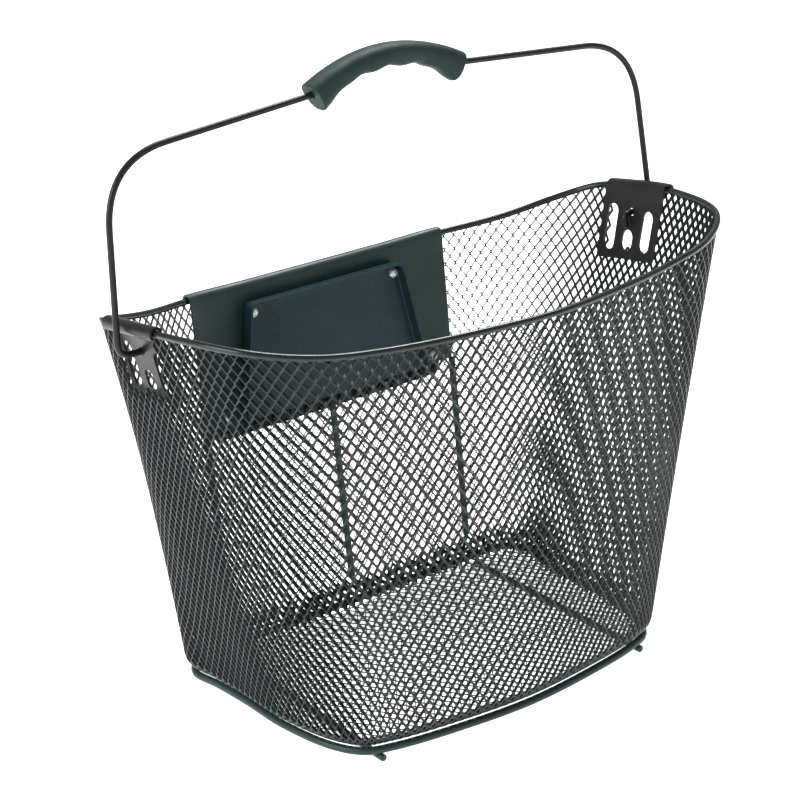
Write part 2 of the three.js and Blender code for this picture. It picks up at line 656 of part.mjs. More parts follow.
// The bail in its own plane: x across, y up from the pivot axis, mirrored about x = 0.
function bailHalfPath() {
  const pivotX = Math.abs(pivotPoint(1).x);
  const path = new THREE.CurvePath();
  const hookX = pivotX - BAIL_HOOK_INSET;
  const shoulder = new THREE.Vector3(BAIL_SHOULDER_X, BAIL_SHOULDER_HEIGHT, 0);
  const foot = new THREE.Vector3(BAIL_FOOT_X, 0, 0);
  const grip = new THREE.Vector3(GRIP_HALF_LENGTH, GRIP_END_HEIGHT, 0);
  const rounded = (corner, before, after, radius) => {
    const from = corner.clone().add(before.clone().sub(corner).setLength(radius));
    const to = corner.clone().add(after.clone().sub(corner).setLength(radius));
    return new THREE.QuadraticBezierCurve3(from, corner, to);
  };
  const hookEnd = new THREE.Vector3(hookX, -BAIL_HOOK_LENGTH, 0);
  const hook = rounded(new THREE.Vector3(hookX, 0, 0), hookEnd, foot, BAIL_HOOK_RADIUS);
  const footBend = rounded(foot, hook.v2, shoulder, BAIL_FOOT_RADIUS);
  const shoulderBend = rounded(shoulder, foot, grip, BAIL_SHOULDER_RADIUS);
  const middle = new THREE.Vector3(0, GRIP_END_HEIGHT + GRIP_ARCH, 0);
  const handle = new THREE.Vector3(GRIP_HALF_LENGTH * 0.5, GRIP_END_HEIGHT + GRIP_ARCH, 0);
  path.add(new THREE.LineCurve3(hookEnd, hook.v0));
  path.add(hook);
  path.add(new THREE.LineCurve3(hook.v2, footBend.v0));
  path.add(footBend);
  path.add(new THREE.LineCurve3(footBend.v2, shoulderBend.v0));
  path.add(shoulderBend);
  path.add(new THREE.LineCurve3(shoulderBend.v2, grip));
  path.add(new THREE.QuadraticBezierCurve3(grip, handle, middle));
  return path;
}

const BAIL_STEPS_PER_STRETCH = [1, 3, 1, 5, 1, 9, 1, 11];

function bailPoints() {
  const half = [];
  bailHalfPath().curves.forEach((curve, i) => {
    const points = curve.getPoints(BAIL_STEPS_PER_STRETCH[i]);
    half.push(...(i === 0 ? points : points.slice(1)));
  });
  const mirrored = half.slice(0, -1).reverse().map((p) => new THREE.Vector3(-p.x, p.y, 0));
  return [...half, ...mirrored];
}

// A body swept through a list of plane points, with section(point, along) giving each ring.
function sweptRings(points, section) {
  return points.map((point, i) => {
    const before = points[Math.max(i - 1, 0)];
    const after = points[Math.min(i + 1, points.length - 1)];
    const along = after.clone().sub(before).normalize();
    const up = new THREE.Vector3(-along.y, along.x, 0);
    return section(point, up, i);
  });
}

function ring(point, up, radiusUp, radiusAcross, sides) {
  return spread(0, 2 * Math.PI, sides).slice(0, -1).map((angle) => point.clone()
    .addScaledVector(up, radiusUp * Math.sin(angle))
    .add(new THREE.Vector3(0, 0, radiusAcross * Math.cos(angle))));
}

function solidFromRings(rings) {
  const centres = [rings[0], rings[rings.length - 1]].map((points) => (
    points.reduce((sum, p) => sum.add(p), new THREE.Vector3()).divideScalar(points.length)));
  const sides = rings[0].length;
  const positions = [...rings.flat(), ...centres].flatMap((p) => [p.x, p.y, p.z]);
  const triangles = [];
  const at = (row, column) => row * sides + (column % sides);
  for (let row = 0; row < rings.length - 1; row += 1) {
    for (let column = 0; column < sides; column += 1) {
      triangles.push(at(row, column), at(row + 1, column), at(row + 1, column + 1));
      triangles.push(at(row, column), at(row + 1, column + 1), at(row, column + 1));
    }
  }
  const first = rings.length * sides;
  for (let column = 0; column < sides; column += 1) {
    triangles.push(first, at(0, column), at(0, column + 1));
    triangles.push(first + 1, at(rings.length - 1, column + 1), at(rings.length - 1, column));
  }
  const geometry = new THREE.BufferGeometry();
  geometry.setAttribute("position", new THREE.Float32BufferAttribute(positions, 3));
  geometry.setIndex(triangles);
  return facingOut(geometry);
}

// The grip's section round the wire: flatter above, and waved below where the fingers lie.
function gripSection(sides, length) {
  return (point, up, i) => {
    const along = i / (length - 1);
    const fingers = GRIP_WAVE * Math.cos(2 * Math.PI * GRIP_WAVES * along);
    const flare = GRIP_FLARE * THREE.MathUtils.smoothstep(Math.abs(2 * along - 1), 0.6, 0.9);
    return spread(0, 2 * Math.PI, sides).slice(0, -1).map((angle) => {
      const s = Math.sin(angle);
      const c = Math.cos(angle);
      const height = s > 0 ? GRIP_ABOVE_WIRE : GRIP_BELOW_WIRE + fingers + flare;
      const across = GRIP_HALF_WIDTH * Math.sign(c) * Math.abs(c) ** GRIP_SQUARENESS;
      const rise = height * Math.sign(s) * Math.abs(s) ** GRIP_SQUARENESS;
      return point.clone().addScaledVector(up, rise).add(new THREE.Vector3(0, 0, across));
    });
  };
}

function makeBail() {
  const pivot = pivotPoint(1);
  const bail = new THREE.Group();
  bail.position.set(0, pivot.y, pivot.z);
  bail.rotation.x = Math.PI / 2 - BAIL_LEAN;
  basket.add(bail);

  const points = bailPoints();
  const wireRings = sweptRings(points, (point, up) => ring(point, up, BAIL_WIRE_RADIUS, BAIL_WIRE_RADIUS, 8));
  addPiece("bail_wire", solidFromRings(wireRings), DARK_PAINT, bail);

  const inGrip = points.filter((p) => p.y > 0 && Math.abs(p.x) <= GRIP_HALF_LENGTH + 1e-6);
  const bore = BAIL_WIRE_RADIUS + GAP;
  const outer = sweptRings(inGrip, gripSection(14, inGrip.length));
  const inner = sweptRings(inGrip, (point, up) => ring(point, up, bore, bore, 14));
  addPiece("grip", shellBody(outer, inner, true), GRIP_PLASTIC, bail);
}

makeWires();
makeMesh();
makeRearPlate();
makeTray();
makeAdapter();
makeFasteners();
makeSidePlates();
makeBail();

export default basket;
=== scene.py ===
"""Handlebar basket: the fine surfaces, materials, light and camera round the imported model.

Metres, +Z up, the rider's side is +Y. The form functions work in a local frame whose y is 0 on the
rear rim, as the basket's outlines are easiest to state there; ORIGIN_Y moves them into the frame.
"""

import math

import bpy
import numpy as np
from mathutils import Matrix, Vector


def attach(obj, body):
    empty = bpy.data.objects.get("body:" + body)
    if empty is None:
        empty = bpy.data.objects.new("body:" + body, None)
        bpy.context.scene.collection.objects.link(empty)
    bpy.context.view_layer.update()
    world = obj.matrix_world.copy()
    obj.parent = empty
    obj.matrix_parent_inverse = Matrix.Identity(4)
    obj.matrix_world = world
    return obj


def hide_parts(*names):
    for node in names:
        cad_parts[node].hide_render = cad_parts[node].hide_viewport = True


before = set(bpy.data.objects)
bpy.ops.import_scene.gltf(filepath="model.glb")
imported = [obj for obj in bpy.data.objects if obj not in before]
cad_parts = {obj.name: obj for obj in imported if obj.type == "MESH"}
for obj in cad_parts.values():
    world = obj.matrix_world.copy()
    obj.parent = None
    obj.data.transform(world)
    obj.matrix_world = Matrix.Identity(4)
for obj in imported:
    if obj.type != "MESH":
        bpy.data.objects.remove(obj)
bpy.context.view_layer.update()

MM = 0.001

# ---------------------------------------------------------------- driving dimensions

GAP = 0.3 * MM
SNUG = 0.05 * MM  # how much thinner the outermost wires are than in CAD, to stay inside its box
HOOK_GAP = 0.55 * MM
RIM_WIRE_RADIUS = 1.9 * MM
REAR_RIM_HEIGHT = 214 * MM
SIDE_LIFT = 18.8 * MM
FRONT_SLOPE = 0.123
FLOOR_WIRE_RADIUS = 2 * MM
FLOOR_WIRE_X = 91 * MM
FLOOR_WIRE_REAR_Y = -20 * MM
FLOOR_WIRE_FRONT_Y = -174.5 * MM
UPRIGHT_X = 88 * MM
RING_RADIUS = 2.2 * MM
RING_PLACE = 0.62
FLOOR_LEVEL = 7.2 * MM
BOTTOM_EDGE_RADIUS = 13 * MM
MIDDLE_OF_FLOOR_Y = -100 * MM
MESH_THICKNESS = 1.2 * MM  # the CAD sheet that stands for the mesh
RIM_HALF_WIDTH = 170.5 * MM

# [rim x, rim y, bottom edge x, bottom edge y] in millimetres, rear middle to front middle
STATIONS = [
    (0, 0, 0, -14.5),
    (44, 0, 44, -14.5),
    (84, -2, 84, -14.5),
    (120, -18, 114, -17),
    (150, -34, 124, -31),
    (167, -54, 121, -53),
    (170.5, -84, 119, -80),
    (168.5, -127, 118, -115),
    (155.5, -170, 110.5, -153),
    (129.5, -191, 100, -170.5),
    (93, -201, 84, -177.5),
    (48.5, -211, 45, -184.5),
    (0, -218, 0, -188),
]
STATION_COUNT = 2 * (len(STATIONS) - 1)

PLATE_THICKNESS = 1.4 * MM
REAR_PLATE_HALF_WIDTH = 88 * MM
REAR_PLATE_DROP = 77.5 * MM
TRAY_TOP_HALF_WIDTH = 53 * MM
TRAY_BOTTOM_HALF_WIDTH = 65 * MM
TRAY_TOP_DROP = 7 * MM
TRAY_BOTTOM_DROP = 76 * MM
TRAY_FLANGE = 7.5 * MM
TRAY_CORNER = 3.5 * MM  # rounding of the flange's top corners
TRAY_FOLD = 2.2 * MM  # outer radius of the fold from the flat back to the flange
TRAY_BACK_INSETS = (8 * MM, 18 * MM, 32 * MM)  # rows of points across its flat back
REAR_BEND = 1.4 * MM
SIDE_PLATE_REAR_Y = -66 * MM
SIDE_PLATE_FRONT_Y = -116 * MM
SIDE_PLATE_DROP = 43.5 * MM
SIDE_PLATE_BORDER = 3.5 * MM
SIDE_SLOTS = [(-75 * MM, 11 * MM), (-90.5 * MM, 26 * MM), (-106 * MM, 14 * MM)]  # (y, top drop)
SLOT_BOTTOM_DROP = 38.5 * MM
SLOT_WIDTH = 9 * MM
CUTTER_REACH = 12 * MM  # how far a hole's cutter runs to each side of the wall
BAIL_WIRE_RADIUS = 1.8 * MM
BAIL_PIVOT_Y = -90.5 * MM
BAIL_PIVOT_DROP = 14.5 * MM
BAIL_LEAN = math.radians(3.65)
BAIL_FOOT_X = 178.6 * MM
BAIL_SHOULDER_X = 171.1 * MM
BAIL_SHOULDER_HEIGHT = 99.4 * MM
BAIL_SHOULDER_RADIUS = 35.5 * MM
BAIL_FOOT_RADIUS = 8 * MM
BAIL_HOOK_INSET = 9 * MM
BAIL_HOOK_LENGTH = 8 * MM
BAIL_HOOK_RADIUS = 3 * MM
BAIL_HOLE_CLEARANCE = 0.6 * MM
GRIP_HALF_LENGTH = 47.5 * MM
GRIP_END_HEIGHT = 108.9 * MM
GRIP_ARCH = 12.5 * MM
GRIP_HALF_WIDTH = 8 * MM
GRIP_ABOVE_WIRE = 6.3 * MM
GRIP_BELOW_WIRE = 6.2 * MM
GRIP_WAVE = 0.7 * MM
GRIP_WAVES = 5
GRIP_FLARE = 3.6 * MM
GRIP_SQUARENESS = 0.78
GRIP_BORE_GAP = 0.15 * MM
ADAPTER_DEPTH = 20 * MM  # base and guide rails together
ADAPTER_STANDOFF = 0.8 * MM

FRONT_EXTENT = STATIONS[-1][1] * MM - RIM_WIRE_RADIUS
REAR_EXTENT = MESH_THICKNESS / 2 + ADAPTER_STANDOFF + ADAPTER_DEPTH
ORIGIN_Y = (FRONT_EXTENT + REAR_EXTENT) / 2

# The diamond mesh: its pitch round the basket and down it, and how much of a diamond is open.
MESH_COLUMNS = 148
DIAMOND_HEIGHT = 8.9 * MM
HOLE_SHARE = 0.9
EDGE_HOLE_SHARE = 0.5  # the diamonds are pressed nearly shut where the mesh bends under the floor
KNUCKLE_SHARE = 0.16
STRAND_DEPTH = 1.7 * MM  # through the mesh on the walls, where its strands stand on edge
FLOOR_STRAND_DEPTH = 0.5 * MM
STRAND_LEAN = 0.3  # how far a strand runs along the wall for each millimetre through it
STRAND_FALL = 0.5  # how far it falls for each millimetre outward
FLOOR_DIAMOND_WIDTH = 6 * MM
FLOOR_HALF_COLUMNS = 44  # half-diamonds from the floor's middle to beyond its side
FLOOR_HALF_ROWS = 40

# ---------------------------------------------------------------- the basket's form


def root_distance(a, b):
    return np.sqrt(np.linalg.norm(a - b, axis=-1, keepdims=True))


def closed_outline(first, second):
    """A centripetal Catmull-Rom loop through the stations and their mirror images."""
    right = [(s[first], s[second]) for s in STATIONS]
    left = [(-s[first], s[second]) for s in STATIONS[1:-1][::-1]]
    points = np.array(right + left, float) * MM
    count = len(points)

    def at(turn):
        place = np.mod(np.asarray(turn, float), 1) * count
        start = np.floor(place).astype(int) % count
        w = (place - np.floor(place))[..., None]
        p0, p1, p2, p3 = (points[(start + k) % count] for k in (-1, 0, 1, 2))
        d0, d1, d2 = root_distance(p0, p1), root_distance(p1, p2), root_distance(p2, p3)
        t1 = ((p1 - p0) / d0 - (p2 - p0) / (d0 + d1) + (p2 - p1) / d1) * d1
        t2 = ((p2 - p1) / d1 - (p3 - p1) / (d1 + d2) + (p3 - p2) / d2) * d1
        c2 = 3 * (p2 - p1) - 2 * t1 - t2
        c3 = 2 * (p1 - p2) + t1 + t2
        return p1 + w * (t1 + w * (c2 + w * c3))

    return at


rim_outline = closed_outline(0, 1)
bottom_outline = closed_outline(2, 3)


def unit(v):
    return v / np.linalg.norm(v, axis=-1, keepdims=True)


def rim_point(turn):
    p = rim_outline(turn)
    z = REAR_RIM_HEIGHT + SIDE_LIFT * (p[..., 0] / RIM_HALF_WIDTH) ** 4 - FRONT_SLOPE * p[..., 1]
    return np.concatenate([p, z[..., None]], -1)


def bottom_point(turn):
    p = bottom_outline(turn)
    return np.concatenate([p, np.full(p.shape[:-1] + (1,), FLOOR_LEVEL)], -1)


def wall_frame(turn):
    """The straight wall at each turn: its ends, its length, and the ways down, out and along it."""
    turn = np.asarray(turn, float)
    step = 1e-3
    rim, bottom = rim_point(turn), bottom_point(turn)
    along_rim = unit(rim_point(turn + step) - rim_point(turn - step))
    along_bottom = unit(bottom_point(turn + step) - bottom_point(turn - step))
    down = bottom - rim
    length = np.linalg.norm(down, axis=-1, keepdims=True)
    down = down / length
    out = unit(np.cross(unit(along_rim + along_bottom), down))
    return {"rim": rim, "bottom": bottom, "length": length,
            "down": down, "out": out, "along": along_bottom}


def on_wall(turn, drop, offset=0.0):
    f = wall_frame(turn)
    drop, offset = np.asarray(drop, float), np.asarray(offset, float)
    return f["rim"] + f["down"] * drop[..., None] + f["out"] * offset[..., None]


def bottom_edge(turn):
    """The rounded bottom edge at each turn: its arc's centre, first arm, axis and sweep."""
    f = wall_frame(turn)
    inward = unit(np.stack([-f["along"][..., 1], f["along"][..., 0], 0 * f["along"][..., 0]], -1))
    to_middle = np.array([0, MIDDLE_OF_FLOOR_Y, FLOOR_LEVEL]) - f["bottom"]
    inward = inward * np.sign((inward * to_middle).sum(-1, keepdims=True))
    up = -f["down"]
    corner = np.arccos((up * inward).sum(-1, keepdims=True))
    tangent = BOTTOM_EDGE_RADIUS / np.tan(corner / 2)
    centre = f["bottom"] + unit(up + inward) * BOTTOM_EDGE_RADIUS / np.sin(corner / 2)
    arm = f["bottom"] + up * tangent - centre
    return {"centre": centre, "arm": arm, "axis": unit(np.cross(inward, up)),
            "sweep": math.pi - corner, "tangent": tangent, "frame": f}


def on_bottom_edge(turn, bend, offset=0.0):
    """A point on the rounded edge, from bend 0 at the wall to bend 1 at the floor."""
    e = bottom_edge(turn)
    angle = e["sweep"] * np.asarray(bend, float)[..., None]
    turned = e["arm"] * np.cos(angle) + np.cross(e["axis"], e["arm"]) * np.sin(angle)
    return e["centre"] + turned * (1 + np.asarray(offset, float)[..., None] / BOTTOM_EDGE_RADIUS)


FINE_TURNS = np.linspace(0, 1, 4001)


def turn_at_x(x):
    """The turn on the rear half at which the rim reaches x."""
    quarter = FINE_TURNS[FINE_TURNS <= 6 / STATION_COUNT]
    return math.copysign(float(np.interp(abs(x), rim_outline(quarter)[:, 0], quarter)), x)


def turn_at_side_y(y):
    """The turn on the right side at which the rim reaches y."""
    side = FINE_TURNS[(FINE_TURNS >= 3 / STATION_COUNT) & (FINE_TURNS <= 9 / STATION_COUNT)]
    return float(np.interp(-y, -rim_outline(side)[:, 1], side))


REAR = wall_frame(0.0)


def on_rear(x, drop, offset):
    """A place on the flat rear, for pieces that aren't bent to the wall."""
    point = REAR["rim"] + REAR["down"] * drop + REAR["out"] * offset
    return np.array([x, point[1], point[2]])


# ---------------------------------------------------------------- mesh helpers

MERGE_DISTANCE = 0.02 * MM


def add_object(name, vertices, faces, body="basket", local=True, smooth=True):
    """A mesh object from points in the local frame (or, with local=False, in the row's frame)."""
    points = np.array(vertices, float).reshape(-1, 3).copy()
    if local:
        points[:, 1] -= ORIGIN_Y
    mesh = bpy.data.meshes.new(name)
    mesh.from_pydata(points.tolist(), [], [tuple(int(v) for v in f) for f in faces])
    mesh.validate()
    mesh.update()
    for polygon in mesh.polygons:
        polygon.use_smooth = smooth
    obj = bpy.data.objects.new(name, mesh)
    bpy.context.scene.collection.objects.link(obj)
    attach(obj, body)
    return obj


def face_outward(obj, merge=False):
    """Turns a closed mesh's faces to point out, after merging doubled points if asked."""
    bpy.context.view_layer.objects.active = obj
    bpy.ops.object.select_all(action="DESELECT")
    obj.select_set(True)
    bpy.ops.object.mode_set(mode="EDIT")
    bpy.ops.mesh.select_all(action="SELECT")
    if merge:
        bpy.ops.mesh.remove_doubles(threshold=MERGE_DISTANCE)
    bpy.ops.mesh.normals_make_consistent(inside=False)
    bpy.ops.object.mode_set(mode="OBJECT")
    return obj


def bevel(obj, width, segments, angle):
    modifier = obj.modifiers.new("soft_edges", "BEVEL")
    modifier.width = width
    modifier.segments = segments
    modifier.limit_method = "ANGLE"
    modifier.angle_limit = math.radians(angle)
    modifier.harden_normals = True
    return obj


def finish_piece(obj, material, slot, *nodes):
    obj.data.materials.clear()
    obj.data.materials.append(material)
    if nodes:
        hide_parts(*nodes)
    return obj


def quadratic(start, corner, end, steps):
    """Points of a quadratic curve that leaves its start and meets its end towards the corner."""
    t = np.linspace(0, 1, steps + 1)[:, None]
    return (1 - t) ** 2 * start + 2 * t * (1 - t) * corner + t * t * end


def frames_along(points, closed):
    """Two directions across a path at each of its points, carried along without twist."""
    after = np.roll(points, -1, 0)
    before = np.roll(points, 1, 0)
    if not closed:
        after[-1], before[0] = points[-1], points[0]
    tangents = unit(after - before)
    start = np.array([0, 0, 1.0]) if abs(tangents[0][2]) < 0.9 else np.array([1.0, 0, 0])
    side = unit(np.cross(tangents[0], start))
    sides = [side]
    for tangent in tangents[1:]:
        side = unit(side - tangent * side.dot(tangent))
        sides.append(side)
    sides = np.array(sides)
    if closed:
        # Spreads what is left of the twist evenly round the loop.
        last = unit(sides[-1] - tangents[0] * sides[-1].dot(tangents[0]))
        other = np.cross(tangents[0], sides[0])
        twist = math.atan2(last.dot(other), last.dot(sides[0]))
        angle = (-twist * np.arange(len(points)) / len(points))[:, None]
        sides = sides * np.cos(angle) + np.cross(tangents, sides) * np.sin(angle)
    return tangents, sides, np.cross(tangents, sides)


def tube(name, points, radius, sides=14, closed=False, body="basket"):
    """A round wire. Its open ends are domed a little, as a cropped and painted wire's are."""
    points = np.array(points, float)
    tangents, across, other = frames_along(points, closed)
    radii = np.full(len(points), radius)
    if not closed:
        dome = [(0.0, 0.55), (0.12, 0.82), (0.3, 1.0)]  # (way in, width), as shares of the radius
        first = [(points[0] + tangents[0] * radius * reach, share) for reach, share in dome]
        last = [(points[-1] - tangents[-1] * radius * reach, share) for reach, share in dome[::-1]]
        points = np.array([p for p, _ in first] + list(points[1:-1]) + [p for p, _ in last])
        radii = np.array([radius * s for _, s in first] + [radius] * (len(points) - 6)
                         + [radius * s for _, s in last])
        across = np.concatenate([across[[0] * 3], across[1:-1], across[[-1] * 3]])
        other = np.concatenate([other[[0] * 3], other[1:-1], other[[-1] * 3]])
    angles = np.arange(sides) * 2 * math.pi / sides
    circle = across[:, None] * np.cos(angles)[:, None] + other[:, None] * np.sin(angles)[:, None]
    rings = points[:, None] + circle * radii[:, None, None]
    count = len(points)
    faces = []
    for row in range(count if closed else count - 1):
        here, there = row * sides, (row + 1) % count * sides
        for k in range(sides):
            k2 = (k + 1) % sides
            faces.append((here + k, here + k2, there + k2, there + k))
    if not closed:
        faces.append(tuple(range(sides))[::-1])
        faces.append(tuple((count - 1) * sides + k for k in range(sides)))
    return face_outward(add_object(name, rings, faces, body))


def slab(name, outer, inner, body="basket", wrap=False, spine=False):
    """A closed body between two grids of points, joined round their edges.

    With wrap, the columns run round and meet. With spine, each grid's last row is folded on
    itself along one line, so its doubled points are merged and need no joining.
    """
    outer, inner = np.array(outer), np.array(inner)
    rows, columns = outer.shape[:2]
    vertices = np.concatenate([outer.reshape(-1, 3), inner.reshape(-1, 3)])
    at = lambda layer, r, c: layer * rows * columns + r * columns + c % columns
    faces = []
    steps = columns if wrap else columns - 1
    for r in range(rows - 1):
        for c in range(steps):
            faces.append((at(0, r, c), at(0, r, c + 1), at(0, r + 1, c + 1), at(0, r + 1, c)))
            faces.append((at(1, r, c), at(1, r + 1, c), at(1, r + 1, c + 1), at(1, r, c + 1)))
        if not wrap:
            last = columns - 1
            faces.append((at(0, r, 0), at(0, r + 1, 0), at(1, r + 1, 0), at(1, r, 0)))
            faces.append((at(0, r, last), at(1, r, last), at(1, r + 1, last), at(0, r + 1, last)))
    for c in range(steps):
        last = rows - 1
        faces.append((at(0, 0, c), at(1, 0, c), at(1, 0, c + 1), at(0, 0, c + 1)))
        if not spine:
            faces.append((at(0, last, c), at(0, last, c + 1), at(1, last, c + 1), at(1, last, c)))
    return face_outward(add_object(name, vertices, faces, body), merge=spine)


def cut_away(obj, cutter):
    """Cuts one mesh out of another for good, and removes the cutter."""
    modifier = obj.modifiers.new("cut", "BOOLEAN")
    modifier.operation = "DIFFERENCE"
    modifier.solver = "EXACT"
    modifier.object = cutter
    bpy.context.view_layer.objects.active = obj
    bpy.ops.object.modifier_apply(modifier="cut")
    bpy.data.objects.remove(cutter, do_unlink=True)
    return obj


# ---------------------------------------------------------------- materials


class Nodes:
    """A short way to build one material's node tree."""

    def __init__(self, name):
        self.material = bpy.data.materials.new(name)
        self.material.use_nodes = True
        self.tree = self.material.node_tree
        self.shader = self.tree.nodes["Principled BSDF"]

    def add(self, kind, **values):
        node = self.tree.nodes.new(kind)
        for key, value in values.items():
            if hasattr(node, key):
                setattr(node, key, value)
            else:
                node.inputs[key.replace("_", " ")].default_value = value
        return node

    def link(self, source, target):
        self.tree.links.new(source, target)

    def noise(self, scale, detail, roughness=0.5):
        place = self.add("ShaderNodeTexCoord")
        noise = self.add("ShaderNodeTexNoise", Scale=scale, Detail=detail, Roughness=roughness)
        self.link(place.outputs["Object"], noise.inputs["Vector"])
        return noise.outputs["Fac"]

    def ramp(self, factor, stops):
        ramp = self.add("ShaderNodeValToRGB")
        elements = ramp.color_ramp.elements
        while len(elements) < len(stops):
            elements.new(0.5)
        for element, (place, colour) in zip(elements, stops):
            element.position = place
            element.color = (*colour, 1)
        self.link(factor, ramp.inputs["Fac"])
        return ramp.outputs["Color"]

    def spread(self, factor, low, high):
        span = self.add("ShaderNodeMapRange", To_Min=low, To_Max=high, From_Min=0.3, From_Max=0.7)
        self.link(factor, span.inputs["Value"])
        return span.outputs["Result"]

    def bump(self, heights, distance, strength):
        bump = self.add("ShaderNodeBump", Distance=distance, Strength=strength)
        self.link(heights, bump.inputs["Height"])
        self.link(bump.outputs["Normal"], self.shader.inputs["Normal"])


def srgb(red, green, blue):
    """A colour given as 0 to 255 screen values, in the linear values that shaders take."""
    def linear(value):
        value /= 255
        return value / 12.92 if value <= 0.04045 else ((value + 0.055) / 1.055) ** 2.4
    return linear(red), linear(green), linear(blue)


def shade(colour, factor):
    return tuple(c * factor for c in colour)


def powder_coat(name, colour, roughness, peel=1.0, coat=0.0, shine=0.3):
    """Baked paint: faint colour drift, uneven gloss and an orange-peel skin with fine dust nibs."""
    n = Nodes(name)
    drift = n.noise(14, 2)
    tone = n.ramp(drift, [(0.3, shade(colour, 0.82)), (0.7, shade(colour, 1.16))])
    n.link(tone, n.shader.inputs["Base Color"])
    gloss = n.spread(n.noise(60, 4), roughness - 0.07, roughness + 0.09)
    n.link(gloss, n.shader.inputs["Roughness"])
    skin = n.add("ShaderNodeMath", operation="ADD")
    n.link(n.noise(900, 2), skin.inputs[0])
    n.link(n.noise(3200, 1), skin.inputs[1])
    n.bump(skin.outputs[0], 0.00006 * peel, 0.6)
    n.shader.inputs["Specular IOR Level"].default_value = shine
    n.shader.inputs["Coat Weight"].default_value = coat
    n.shader.inputs["Coat Roughness"].default_value = 0.16
    return n.material


def moulded_plastic(name, colour, roughness, grain, shine=0.5):
    """Moulded plastic: slightly mottled, with an eroded grain."""
    n = Nodes(name)
    tone = n.ramp(n.noise(55, 4), [(0.3, shade(colour, 0.8)), (0.7, shade(colour, 1.2))])
    n.link(tone, n.shader.inputs["Base Color"])
    gloss = n.spread(n.noise(180, 3), roughness - 0.06, roughness + 0.08)
    n.link(gloss, n.shader.inputs["Roughness"])
    n.bump(n.noise(1500, 4, 0.65), grain, 0.7)
    n.shader.inputs["Specular IOR Level"].default_value = shine
    return n.material


def zinc_plate(name):
    """Bright zinc on small fasteners: cloudy, with rolled scratches."""
    n = Nodes(name)
    bright, dull = srgb(214, 217, 220), srgb(168, 170, 176)
    n.link(n.ramp(n.noise(400, 5), [(0.3, dull), (0.7, bright)]), n.shader.inputs["Base Color"])
    n.link(n.spread(n.noise(900, 3), 0.22, 0.42), n.shader.inputs["Roughness"])
    n.shader.inputs["Metallic"].default_value = 0.9
    n.bump(n.noise(2500, 3), 0.00003, 0.6)
    return n.material


def light_table(name, colour, glow):
    """The pale floor that the basket stands on: a white card that is also lit from below."""
    n = Nodes(name)
    tone = n.ramp(n.noise(3, 2), [(0.3, shade(colour, 0.995)), (0.7, colour)])
    n.link(tone, n.shader.inputs["Base Color"])
    n.link(tone, n.shader.inputs["Emission Color"])
    n.shader.inputs["Emission Strength"].default_value = glow
    n.shader.inputs["Roughness"].default_value = 0.9
    n.shader.inputs["Specular IOR Level"].default_value = 0.1
    return n.material


GREEN = powder_coat("green_powder_coat", srgb(44, 66, 64), 0.36, shine=0.3)
WIRE_GREEN = powder_coat("wire_powder_coat", srgb(28, 38, 38), 0.24, peel=0.4, coat=0.3)
# Painted shade: the tray's green is darker than the plate's, so the tray merges with the shade
# round its flanges.
SHADED_TRAY_GREEN = powder_coat("tray_coat_painted_shade", srgb(30, 53, 59), 0.3, shine=0.2, coat=0.1)
MESH_GREEN = powder_coat("mesh_powder_coat", srgb(24, 36, 36), 0.38, shine=0.35, coat=0.1)
DARK = powder_coat("dark_powder_coat", srgb(33, 34, 36), 0.34, shine=0.3)
GRIP_PLASTIC = moulded_plastic("grip_plastic", srgb(34, 58, 54), 0.55, 0.0002, shine=0.25)
ADAPTER_PLASTIC = moulded_plastic("adapter_plastic", srgb(30, 31, 33), 0.52, 0.0001)
ZINC = zinc_plate("zinc_plate")

# ---------------------------------------------------------------- diamond mesh


COLUMN_SPACING_DROP = 0.4  # the share of the wall's height at which the columns are evenly spaced


def even_columns():
    """Gives the turn for each share of the way round, measured where the columns are even."""
    f = wall_frame(FINE_TURNS)
    middle = f["rim"] + f["down"] * f["length"] * COLUMN_SPACING_DROP
    steps = np.linalg.norm(np.diff(middle, axis=0), axis=1)
    reach = np.concatenate([[0], np.cumsum(steps)])
    return lambda share: np.interp(np.mod(share, 1), reach / reach[-1], FINE_TURNS)


turn_of_share = even_columns()

WALL_TOP = REAR_RIM_HEIGHT + SIDE_LIFT + 20 * MM  # level of the top row, clipped by the rim
BEND_TOP = FLOOR_LEVEL + 11.5 * MM  # level at which the walls begin to bend under
WALL_ROWS = round((WALL_TOP - BEND_TOP) / (DIAMOND_HEIGHT / 2))
BEND_ROWS = 5
SHORTEST_DIAMOND = 0.4 * MM  # what the rim leaves of a diamond is dropped when it is shorter
SMALLEST_DIAMOND = 0.6 * MM  # the same for what the floor's outline leaves


def wall_lattice(column, row):
    """A lattice place on the walls: rows run level, up to the rim, and bend under at the floor."""
    turn = turn_of_share(column / (2 * MESH_COLUMNS))
    edge = bottom_edge(turn)
    f = edge["frame"]
    start_of_bend = f["bottom"] - f["down"] * edge["tangent"]
    share = np.clip(row / WALL_ROWS, 0, 1)
    level = WALL_TOP + (start_of_bend[..., 2] - WALL_TOP) * share
    level = np.minimum(level, f["rim"][..., 2])
    drop = (f["rim"][..., 2] - level) / -f["down"][..., 2]
    on_straight = f["rim"] + f["down"] * drop[..., None]
    bend = np.clip((row - WALL_ROWS) / BEND_ROWS, 0, 1)
    on_bend = on_bottom_edge(turn, bend)
    return np.where((row > WALL_ROWS)[..., None], on_bend, on_straight), turn, drop


